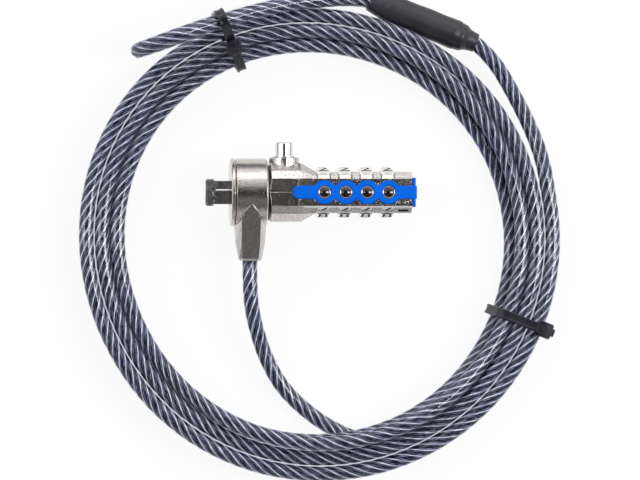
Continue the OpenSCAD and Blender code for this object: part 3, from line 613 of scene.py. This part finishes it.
def window_cutter():
    """Its corners lie off the plane where the two shells meet, which would leave thin faces there."""
    bm = bmesh.new()
    turn = Matrix.Rotation(math.pi / WINDOW_SIDES, 4, "X") @ Matrix.Rotation(math.pi / 2, 4, "Y")
    for x in DIAL_X:
        bmesh.ops.create_cone(bm, cap_ends=True, segments=WINDOW_SIDES, radius1=WINDOW_R * MM,
                              radius2=WINDOW_R * MM, depth=2 * WINDOW_HALF * MM,
                              matrix=Matrix.Translation((x * MM, 0, 0)) @ turn)
    mesh = bpy.data.meshes.new("window_cutter")
    bm.to_mesh(mesh)
    bm.free()
    return add_object("window_cutter", mesh, False)


cutter = window_cutter()
for half in ("upper", "lower"):
    dress(cut_copy(half + "_casing", NODES["shell_" + half], cutter), NICKEL, "satin_nickel", "barrel",
          "shell_" + half)
bpy.data.objects.remove(cutter)

cutter = prism("step_cutter", [
    (HEAD_END_X, STEP_LOW_Y), (NECK_END_X, STEP_LOW_Y), (NECK_END_X, NECK_EDGE_Y),
    (HEAD_BACK_X + STEP_SLOPE_X, NECK_EDGE_Y), (HEAD_BACK_X, NECK_EDGE_Y - STEP_SLOPE_Y),
    (HEAD_BACK_X, HEAD_EDGE_Y), (HEAD_END_X, HEAD_EDGE_Y),
], 0, STEP_HEIGHT)
dress(cut_copy("stepped_blade", NODES["hook_blade_front"], cutter), DARK_STEEL, "dark_steel", "blade_front",
      "hook_blade_front")
bpy.data.objects.remove(cutter)

# ---------------------------------------------------------------- return spring, copied from the CAD piece
spring = add_object("return_spring", NODES["spindle_spring"].data.copy(), False)
spring.matrix_world = NODES["spindle_spring"].matrix_world.copy()
dress(spring, BRIGHT_STEEL, "spring_steel", "barrel", "spindle_spring")
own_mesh(spring)

# ---------------------------------------------------------------- cable
FINE_STEP, RING_STEP = 0.5, 1.5      # distances between points of the route, while rounded off and at last
ROUNDS = 12
LOBE_ORBIT, LOBE_R = 1.0, 1.17       # the clear coating magnifies the strands out to its skin
LOBE_HALF = 55                       # half of a strand's visible back, in degrees about its own middle
LOBE_ANGLES = [-LOBE_HALF, -32, -11, 0, 11, 32, LOBE_HALF]
LOBE_HALF_U = 0.46                   # its share of the strand's U
JACKET_R = CABLE_D / 2 + 0.04        # neighbouring lanes touch
JACKET_SIDES = 24

route, route_s = resample(relax(resample(cable_route(), FINE_STEP)[0], ROUNDS), RING_STEP)
side_u, side_v = normals_along(route)


def strand_section():
    """The strands' outline across the cable, and the U of each of its points."""
    points, us = [], []
    for lobe in range(LOBES):
        a = 2 * math.pi * lobe / LOBES
        for local in LOBE_ANGLES:
            b = a + math.radians(local)
            points.append((LOBE_ORBIT * math.cos(a) + LOBE_R * math.cos(b),
                           LOBE_ORBIT * math.sin(a) + LOBE_R * math.sin(b)))
            us.append(lobe + 0.5 + LOBE_HALF_U * local / LOBE_HALF)
    return np.array(points), us + [LOBES]


def rings_of(section, turn=None):
    """Section points in the plane of each station. turn gives the section's angle at each station."""
    n = len(route)
    angle = np.zeros(n) if turn is None else turn
    c, s = np.cos(angle)[:, None], np.sin(angle)[:, None]
    x = section[None, :, 0] * c - section[None, :, 1] * s
    y = section[None, :, 0] * s + section[None, :, 1] * c
    return route[:, None, :] + x[..., None] * side_u[:, None, :] + y[..., None] * side_v[:, None, :]


section, strand_us = strand_section()
twist = 2 * math.pi * route_s / LAY
strands = add_object("cable_strands", sweep_mesh("cable_strands", rings_of(section, twist),
                                                 uv=(strand_us, route_s * MM)))
dress(strands, WIRE, "cable", "cable_side")
ring = np.array([(JACKET_R * math.cos(2 * math.pi * k / JACKET_SIDES),
                  JACKET_R * math.sin(2 * math.pi * k / JACKET_SIDES)) for k in range(JACKET_SIDES)])
jacket_us = [k / JACKET_SIDES for k in range(JACKET_SIDES + 1)]
jacket = add_object("cable_jacket", sweep_mesh("cable_jacket", rings_of(ring), uv=(jacket_us, route_s * MM)))
dress(jacket, JACKET, "cable", "cable_side", "cable_lead", "cable_coil", "cable_tail", "cable_eye")

# ---------------------------------------------------------------- shrink sleeve
# Stations along the sleeve: distance, half width, half height.
SLEEVE_STATIONS = [
    (0, 2.85, 2.85), (0.7, 2.92, 2.95), (1.5, 3.02, 3.1), (2.4, 3.3, 3.5), (3.4, 3.75, 4.2),
    (4.6, 4.15, 4.85), (6, 4.38, 5.16), (8, 4.4, 5.18), (11, 4.36, 5.18), (14, 4.38, 5.18),
    (17, 4.36, 5.18), (20, 4.34, 5.18), (23, 4.32, 5.18), (26, 4.28, 5.18), (28, 4.2, 5.16),
    (29.6, 3.95, 5.1), (31, 3.55, 5.02), (32.4, 3.15, 4.92), (33.4, 2.92, 4.86), (34, 2.85, 4.84),
]
SLEEVE_SIDES = 40
SLEEVE_WALL = 0.5
SLEEVE_BORE_R = CABLE_D / 2 + 0.1
SLEEVE_IN_R, (SLEEVE_OUT_R, SLEEVE_OUT_HEIGHT) = SLEEVE_STATIONS[0][1], SLEEVE_STATIONS[-1][1:]
SLEEVE_OUT_BORE_HEIGHT = 4.55
# Distances of the rings: close together where the tube is wrinkled.
SLEEVE_RINGS = np.concatenate([np.arange(0, 8, 0.35), np.arange(8, 26, 1), np.arange(26, 34.01, 0.35)])
# Wrinkled stretches: middle, reach and share of the full depth.
WRINKLED = [(4.5, 3.2, 1), (29.5, 2.6, 0.7)]
WRINKLE_DEPTH, DENT_DEPTH = 0.11, 0.05
LEVEL = 1e-6            # a sine nearer to 0 than this is level with the sleeve's middle


def sleeve_ring(s, half_w, half_h):
    """A stadium standing on its end, with shallow wrinkles where the tube shrank."""
    side = np.cross([0, 0, 1], SLEEVE_DIR)
    points = []
    for k in range(SLEEVE_SIDES):
        a = 2 * math.pi * k / SLEEVE_SIDES
        lift = max(0.0, half_h - half_w)
        neck = sum(share * math.exp(-((s - middle) / reach) ** 2) for middle, reach, share in WRINKLED)
        wrinkle = WRINKLE_DEPTH * neck * (1 + math.sin(2.3 * s + 1.7 * math.sin(a) + 1.3 * math.cos(2 * a)))
        dent = DENT_DEPTH * (1 + math.sin(0.7 * s + 2 * a))
        r = half_w - wrinkle - dent
        y = r * math.cos(a)
        z = r * math.sin(a) + math.copysign(lift, math.sin(a)) if abs(math.sin(a)) > LEVEL else 0
        points.append(along_sleeve(s, z) + y * side)
    return points


def make_sleeve():
    """The tube's skin from inside one end over the outside to inside the other end, and back within."""
    in_r, out_r, out_height = (size - SLEEVE_WALL for size in (SLEEVE_IN_R, SLEEVE_OUT_R, SLEEVE_OUT_HEIGHT))
    rings = [sleeve_ring(1.2, SLEEVE_BORE_R, SLEEVE_BORE_R), sleeve_ring(0.15, in_r, in_r)]
    at, half_ws, half_hs = zip(*SLEEVE_STATIONS)
    for s in SLEEVE_RINGS:
        rings.append(sleeve_ring(s, np.interp(s, at, half_ws), np.interp(s, at, half_hs)))
    rings += [sleeve_ring(33.85, out_r, out_height),
              sleeve_ring(32.8, SLEEVE_BORE_R, SLEEVE_OUT_BORE_HEIGHT)]
    skin = sweep_mesh("heat_shrink_sleeve", np.array(rings), closed_path=True)
    return add_object("heat_shrink_sleeve", skin)


sleeve = dress(make_sleeve(), SHRINK, "shrink_black", "cable_side", "shrink_sleeve")

# ---------------------------------------------------------------- cable ties
STEPS_PER_TURN = 24
CHORD_SAG = COIL_R * (1 - math.cos(math.radians(180 / STEPS_PER_TURN)))   # of the solids' straight steps
EYE_AT_TIE = math.hypot(EYE_TIE[0] - COIL[0], EYE_TIE[1] - COIL[1])
EYE_TOP = 7.8
LEFT_ANGLE, RIGHT_ANGLE = 114, 338.7
RIGHT_LEAN = -40
STRAP_R = CABLE_D / 2 + STRAND_GAP + STRAP_T / 2
STRAP_STEPS = 96
STRAP_CHAMFER = 0.18
GROOVE_TOP, GROOVE_FLOOR, GROOVE_DEPTH = 0.75, 0.68, 0.16       # half widths and depth
TIE_HEAD = (3.4, 4.6, 3.0)
TIE_STUB = 1.5
TEETH, TOOTH_START, TOOTH_PITCH = 3, 0.35, 0.45


def passes_at(angle):
    """Radius and height of each lane at an angle, with the solids' straight steps allowed for."""
    out = []
    for k in range(math.ceil(TURN_OUT)):
        turn = (angle - TURN_ZERO) / 360 + k
        if TURN_IN < turn < TURN_OUT:
            out += [(lane_r(turn) - CHORD_SAG, lane_z(turn)), (lane_r(turn), lane_z(turn))]
    return out


def convex_loop(points):
    """The points' outer hull, in order."""
    points = sorted(set((round(x, 5), round(y, 5)) for x, y in points))

    def half(seq):
        out = []
        for p in seq:
            while len(out) > 1 and ((out[-1][0] - out[-2][0]) * (p[1] - out[-2][1])
                                    - (out[-1][1] - out[-2][1]) * (p[0] - out[-2][0])) <= 0:
                out.pop()
            out.append(p)
        return out[:-1]

    return half(points) + half(points[::-1])


def tie_loop(strand_points):
    """The strap's middle line, drawn tight round the strands."""
    cloud = [(x + STRAP_R * math.cos(math.radians(a)), y + STRAP_R * math.sin(math.radians(a)))
             for x, y in strand_points for a in range(0, 360, 10)]
    loop = convex_loop(cloud)
    loop = np.array(loop + loop[:1])
    s = np.concatenate([[0], np.cumsum(np.linalg.norm(np.diff(loop, axis=0), axis=1))])
    at = np.linspace(0, s[-1], STRAP_STEPS + 1)[:-1]
    return np.stack([np.interp(at, s, loop[:, 0]), np.interp(at, s, loop[:, 1])], axis=1)


def make_tie(name, angle, strand_points, seat, lean):
    """A strap round the strands. Its head sits at seat, (radius, height), where it leans by lean degrees."""
    a = math.radians(angle)
    out = np.array([math.cos(a), math.sin(a), 0])
    side = np.array([-math.sin(a), math.cos(a), 0])
    centre = np.array([COIL[0], COIL[1], 0])
    loop = tie_loop(strand_points)
    heading = np.roll(loop, -1, axis=0) - np.roll(loop, 1, axis=0)
    heading /= np.linalg.norm(heading, axis=1)[:, None]
    outward = np.stack([heading[:, 1], -heading[:, 0]], axis=1)
    w, t, c = STRAP_W / 2, STRAP_T / 2, STRAP_CHAMFER
    groove = [(-GROOVE_TOP, t), (-GROOVE_FLOOR, t - GROOVE_DEPTH), (GROOVE_FLOOR, t - GROOVE_DEPTH),
              (GROOVE_TOP, t)]
    profile = [(-w, -t + c), (-w, t - c), (-w + c, t), *groove, (w - c, t), (w, t - c), (w, -t + c),
               (w - c, -t), (-w + c, -t)]
    rings = np.array([[centre + out * (p[0] + n[0] * h) + np.array([0, 0, p[1] + n[1] * h]) + side * b
                       for b, h in profile] for p, n in zip(loop, outward)])
    pieces = [add_object(name + "_strap", sweep_mesh(name, rings, closed_path=True), False)]
    place = (Matrix.Translation(Vector(centre) * MM) @ Matrix.Rotation(a, 4, "Z")
             @ Matrix.Translation(Vector((seat[0], 0, seat[1])) * MM)
             @ Matrix.Rotation(-math.radians(lean), 4, "Y"))

    def block(part, size, at, bevel, segments=3):
        piece = add_object(name + part, box_mesh(name + part, size, bevel, segments), False)
        piece.data.transform(place @ Matrix.Translation(Vector(at) * MM))
        pieces.append(piece)

    head_w, head_d, head_t = TIE_HEAD
    top = head_t - STRAP_T / 2
    block("_head", TIE_HEAD, (0, 0, top - head_t / 2), 0.35)
    block("_lip", (0.5, head_d - 0.9, head_t - 0.8), (-head_w / 2 - 0.1, 0, top - head_t / 2), 0.12)
    block("_window", (1.3, 2.2, 0.3), (-0.5, 0, top), 0.1)
    z = head_t / 2
    stub_len = head_w / 2 + TIE_STUB
    block("_stub", (stub_len, STRAP_W - 0.5, 0.8), (stub_len / 2, 0, z), 0.1)
    for k in range(TEETH):
        tooth_x = head_w / 2 + TOOTH_START + TOOTH_PITCH * k
        block("_tooth", (0.22, 1.7, 0.16), (tooth_x, 0, z + 0.42), 0.04, 1)
    return join(name, pieces)


def seat_beside(point, lean):
    """Where the strap's middle line lies over a strand at point, towards lean."""
    a = math.radians(lean)
    return point[0] - STRAP_R * math.sin(a), point[1] + STRAP_R * math.cos(a)


left_points = passes_at(LEFT_ANGLE) + [(EYE_AT_TIE, COIL_Z), (EYE_AT_TIE, EYE_TOP)]
right_points = passes_at(RIGHT_ANGLE)
inner_r, inner_z = left_points[2]
left_lean = math.degrees(math.atan2(EYE_TOP - inner_z, EYE_AT_TIE - inner_r))
left_seat = seat_beside(((EYE_AT_TIE + inner_r) / 2, (EYE_TOP + inner_z) / 2), left_lean)
tie_l = dress(make_tie("nylon_tie_left", LEFT_ANGLE, left_points, left_seat, left_lean),
              NYLON, "black_nylon", "cable_side", "tie_left")
right_seat = seat_beside(right_points[-1], RIGHT_LEAN)
tie_r = dress(make_tie("nylon_tie_right", RIGHT_ANGLE, right_points, right_seat, RIGHT_LEAN),
              NYLON, "black_nylon", "cable_side", "tie_right")

# ---------------------------------------------------------------- digits on the dials
DIAL_R = 7.3
FIRST_ROW = 35          # angle of the row at the index mark, from +Z towards -Y
ROW_DIGIT = 9
ROWS = 10
DIGIT_H = 3.1
DIGIT_W = 3.0
NARROW_ONE = 0.6        # width of a 1 beside the other digits
STROKE_OFFSET = -0.006
LOW, HIGH = -0.05, 0.035      # the digits' back and face, from the dial's skin


def digit_mesh(ch):
    """One digit, flat, at a font size of 1."""
    curve = bpy.data.curves.new("digit_" + ch, "FONT")
    curve.body = ch
    curve.size = 1
    curve.offset = STROKE_OFFSET
    curve.resolution_u = 4
    obj = bpy.data.objects.new("digit", curve)
    scene.collection.objects.link(obj)
    bpy.context.view_layer.update()
    mesh = bpy.data.meshes.new_from_object(obj.evaluated_get(bpy.context.evaluated_depsgraph_get()))
    bpy.data.objects.remove(obj)
    bpy.data.curves.remove(curve)
    return mesh


def set_radius(verts, radius):
    """Moves points straight out from the barrel's axis to radius millimetres."""
    for v in verts:
        d = math.hypot(v.co.y, v.co.z)
        v.co.y *= radius * MM / d
        v.co.z *= radius * MM / d


def make_digits(i):
    """All the digits of one dial, wrapped round it and given their thickness."""
    bm = bmesh.new()
    for k in range(ROWS):
        ch = str((ROW_DIGIT + k) % ROWS)
        mesh = digit_mesh(ch)
        start = len(bm.verts)
        bm.from_mesh(mesh)
        bm.verts.ensure_lookup_table()
        verts = bm.verts[start:]
        xs = [v.co.x for v in verts]
        ys = [v.co.y for v in verts]
        width = DIGIT_W * (NARROW_ONE if ch == "1" else 1)
        mid_x, mid_y = (min(xs) + max(xs)) / 2, (min(ys) + max(ys)) / 2
        sx = width / (max(xs) - min(xs))
        sy = DIGIT_H / (max(ys) - min(ys))
        row = math.radians(FIRST_ROW - 360 / ROWS * k)
        for v in verts:
            x = (v.co.x - mid_x) * sx
            angle = row - (v.co.y - mid_y) * sy / DIAL_R
            v.co = Vector((DIAL_X[i] + x, -DIAL_R * math.sin(angle), DIAL_R * math.cos(angle))) * MM
        bpy.data.meshes.remove(mesh)
    bmesh.ops.remove_doubles(bm, verts=bm.verts[:], dist=DOUBLED)
    set_radius(bm.verts, DIAL_R + HIGH)
    grown = bmesh.ops.extrude_face_region(bm, geom=bm.faces[:])
    set_radius([g for g in grown["geom"] if isinstance(g, bmesh.types.BMVert)], DIAL_R + LOW)
    bmesh.ops.recalc_face_normals(bm, faces=bm.faces[:])
    mesh = bpy.data.meshes.new(f"dial_digits_{i + 1}")
    write_clean(bm, mesh)
    return add_object(f"dial_digits_{i + 1}", mesh, False)


for i, body in enumerate(("dial_one", "dial_two", "dial_three", "dial_four")):
    dress(make_digits(i), MARK, "mark_paint", body)

# ---------------------------------------------------------------- studs with smooth domes and bright rims
DOME_CREASE = math.radians(40)
RIM_ORBIT = 1.65          # the rims lie just inside the studs' edges
RIM_R = 0.17
RIM_Z = 8.48              # on the studs, 0.38 mm above the bottom of the trim's recess
RIM_STEPS, RIM_SIDES = 48, 10


def smooth_copy(name, source):
    """A copy of a CAD piece with smooth domes and without faces of no area."""
    bm = bmesh.new()
    bm.from_mesh(source.data)
    mesh = bpy.data.meshes.new(name)
    write_clean(bm, mesh)
    obj = add_object(name, mesh)
    mesh.set_sharp_from_angle(angle=DOME_CREASE)
    obj.matrix_world = source.matrix_world.copy()
    return obj


def make_stud_rims():
    """A thin round ring in each stud's edge, on both sides of the barrel."""
    bm = bmesh.new()
    for x, side in itertools.product(DIAL_X, (1, -1)):
        rows = []
        for k in range(RIM_STEPS):
            a = 2 * math.pi * k / RIM_STEPS
            row = []
            for m in range(RIM_SIDES):
                b = 2 * math.pi * m / RIM_SIDES
                r = RIM_ORBIT + RIM_R * math.cos(b)
                z = side * (RIM_Z + RIM_R * math.sin(b))
                row.append(bm.verts.new(Vector((x + r * math.cos(a), r * math.sin(a), z)) * MM))
            rows.append(row)
        for k, m in itertools.product(range(RIM_STEPS), range(RIM_SIDES)):
            n, o = (k + 1) % RIM_STEPS, (m + 1) % RIM_SIDES
            bm.faces.new((rows[k][m], rows[n][m], rows[n][o], rows[k][o]))
    bmesh.ops.recalc_face_normals(bm, faces=bm.faces[:])
    mesh = bpy.data.meshes.new("stud_rims")
    bm.to_mesh(mesh)
    bm.free()
    return add_object("stud_rims", mesh)


dress(smooth_copy("domed_studs", NODES["trim_studs"]), DARK_CHROME, "dark_chrome", "barrel", "trim_studs")
dress(smooth_copy("round_detent_balls", NODES["detent_balls"]), BRIGHT_STEEL, "spring_steel", "barrel",
      "detent_balls")
dress(make_stud_rims(), RIM_STEEL, "spring_steel", "barrel")

# ---------------------------------------------------------------- floor and light
FLOOR_HALF = 1.6          # in metres
FLOOR_DROP = 0.05         # below the lowest piece
FLOOR_GLOW = 0.92         # share of the floor's colour that stays white to the eye and in reflections


def make_floor():
    mesh = bpy.data.meshes.new("floor")
    corners = [(-FLOOR_HALF, -FLOOR_HALF), (FLOOR_HALF, -FLOOR_HALF), (FLOOR_HALF, FLOOR_HALF),
               (-FLOOR_HALF, FLOOR_HALF)]
    mesh.from_pydata([(x, y, 0) for x, y in corners], [], [(0, 1, 2, 3)])
    obj = bpy.data.objects.new("floor", mesh)
    obj.location = (AIM.x, AIM.y, (FLOOR_Z - FLOOR_DROP) * MM)
    scene.collection.objects.link(obj)
    return obj


def floor_material():
    mat, tree, shader = material("pale_floor", Roughness=0.8)
    tone = noise_node(tree, 6, 2, 0.5)
    colour = ramp(tree, tone.outputs["Fac"], [(0.3, (0.93, 0.93, 0.93)), (0.7, (0.95, 0.95, 0.95))])
    tree.links.new(colour.outputs["Color"], shader.inputs["Base Color"])
    path = node(tree, "ShaderNodeLightPath")
    through = math_node(tree, "MAXIMUM", path.outputs["Is Glossy Ray"], path.outputs["Is Transmission Ray"])
    seen = math_node(tree, "MAXIMUM", path.outputs["Is Camera Ray"], through)
    white = node(tree, "ShaderNodeEmission", Strength=1.0)
    mix = node(tree, "ShaderNodeMixShader")
    tree.links.new(math_node(tree, "MULTIPLY", seen, FLOOR_GLOW), mix.inputs["Fac"])
    tree.links.new(shader.outputs[0], mix.inputs[1])
    tree.links.new(white.outputs[0], mix.inputs[2])
    tree.links.new(mix.outputs[0], tree.nodes["Material Output"].inputs["Surface"])
    return mat


floor = make_floor()
set_material(floor, floor_material())


def area_light(name, location, size, radiance):
    """A softbox that looks at the part. Location and size are in metres."""
    data = bpy.data.lights.new(name, "AREA")
    data.shape = "RECTANGLE"
    data.size, data.size_y = size
    data.energy = radiance * math.pi * size[0] * size[1]
    obj = bpy.data.objects.new(name, data)
    obj.location = Vector(location)
    aim = AIM - Vector(location)
    obj.rotation_euler = aim.to_track_quat("-Z", "Y").to_euler()
    scene.collection.objects.link(obj)


area_light("softbox_back", (0.05, 0.8, 0.5), (1.6, 0.3), 1.2)
area_light("softbox_left", (-0.8, 0.0, 0.85), (0.12, 0.8), 5)
area_light("softbox_right", (0.78, 0.0, 0.93), (0.3, 0.8), 10)


def make_world():
    """White to the eye, with a grey sky for the reflections: bright behind the part and dark before it."""
    world = bpy.data.worlds.new("studio")
    scene.world = world
    world.use_nodes = True
    tree = world.node_tree
    shade = tree.nodes["Background"]
    out = tree.nodes["World Output"]
    coords = node(tree, "ShaderNodeTexCoord")
    parts = node(tree, "ShaderNodeSeparateXYZ")
    tree.links.new(coords.outputs["Generated"], parts.inputs["Vector"])
    height = span(tree, parts.outputs["Z"], 0, 1, -1, 1)

    def grey(*stops):
        return ramp(tree, height, [(at, (value, value, value)) for at, value in stops]).outputs["Color"]

    behind = grey((0.0, 0.9), (0.5, 0.9), (0.55, 1.25), (0.84, 1.25), (0.88, 0.85), (0.955, 0.75),
                  (0.985, 0.05))
    before = grey((0.0, 0.9), (0.5, 0.6), (0.65, 0.6), (0.75, 0.35), (0.84, 0.14), (0.89, 0.14),
                  (0.94, 0.32), (0.98, 0.07))
    sky = node(tree, "ShaderNodeMix", data_type="RGBA")
    tree.links.new(span(tree, parts.outputs["Y"], 0, 1, -0.25, 0.25), sky.inputs[MIX_FACTOR])
    tree.links.new(before, sky.inputs[MIX_A])
    tree.links.new(behind, sky.inputs[MIX_B])
    tree.links.new(sky.outputs[MIX_COLOUR], shade.inputs["Color"])
    shade.inputs["Strength"].default_value = 1.0
    white = node(tree, "ShaderNodeBackground")
    white.inputs["Color"].default_value = (1, 1, 1, 1)
    path = node(tree, "ShaderNodeLightPath")
    mix = node(tree, "ShaderNodeMixShader")
    tree.links.new(path.outputs["Is Camera Ray"], mix.inputs["Fac"])
    tree.links.new(shade.outputs[0], mix.inputs[1])
    tree.links.new(white.outputs[0], mix.inputs[2])
    tree.links.new(mix.outputs[0], out.inputs["Surface"])


make_world()
scene.view_settings.view_transform = "Standard"
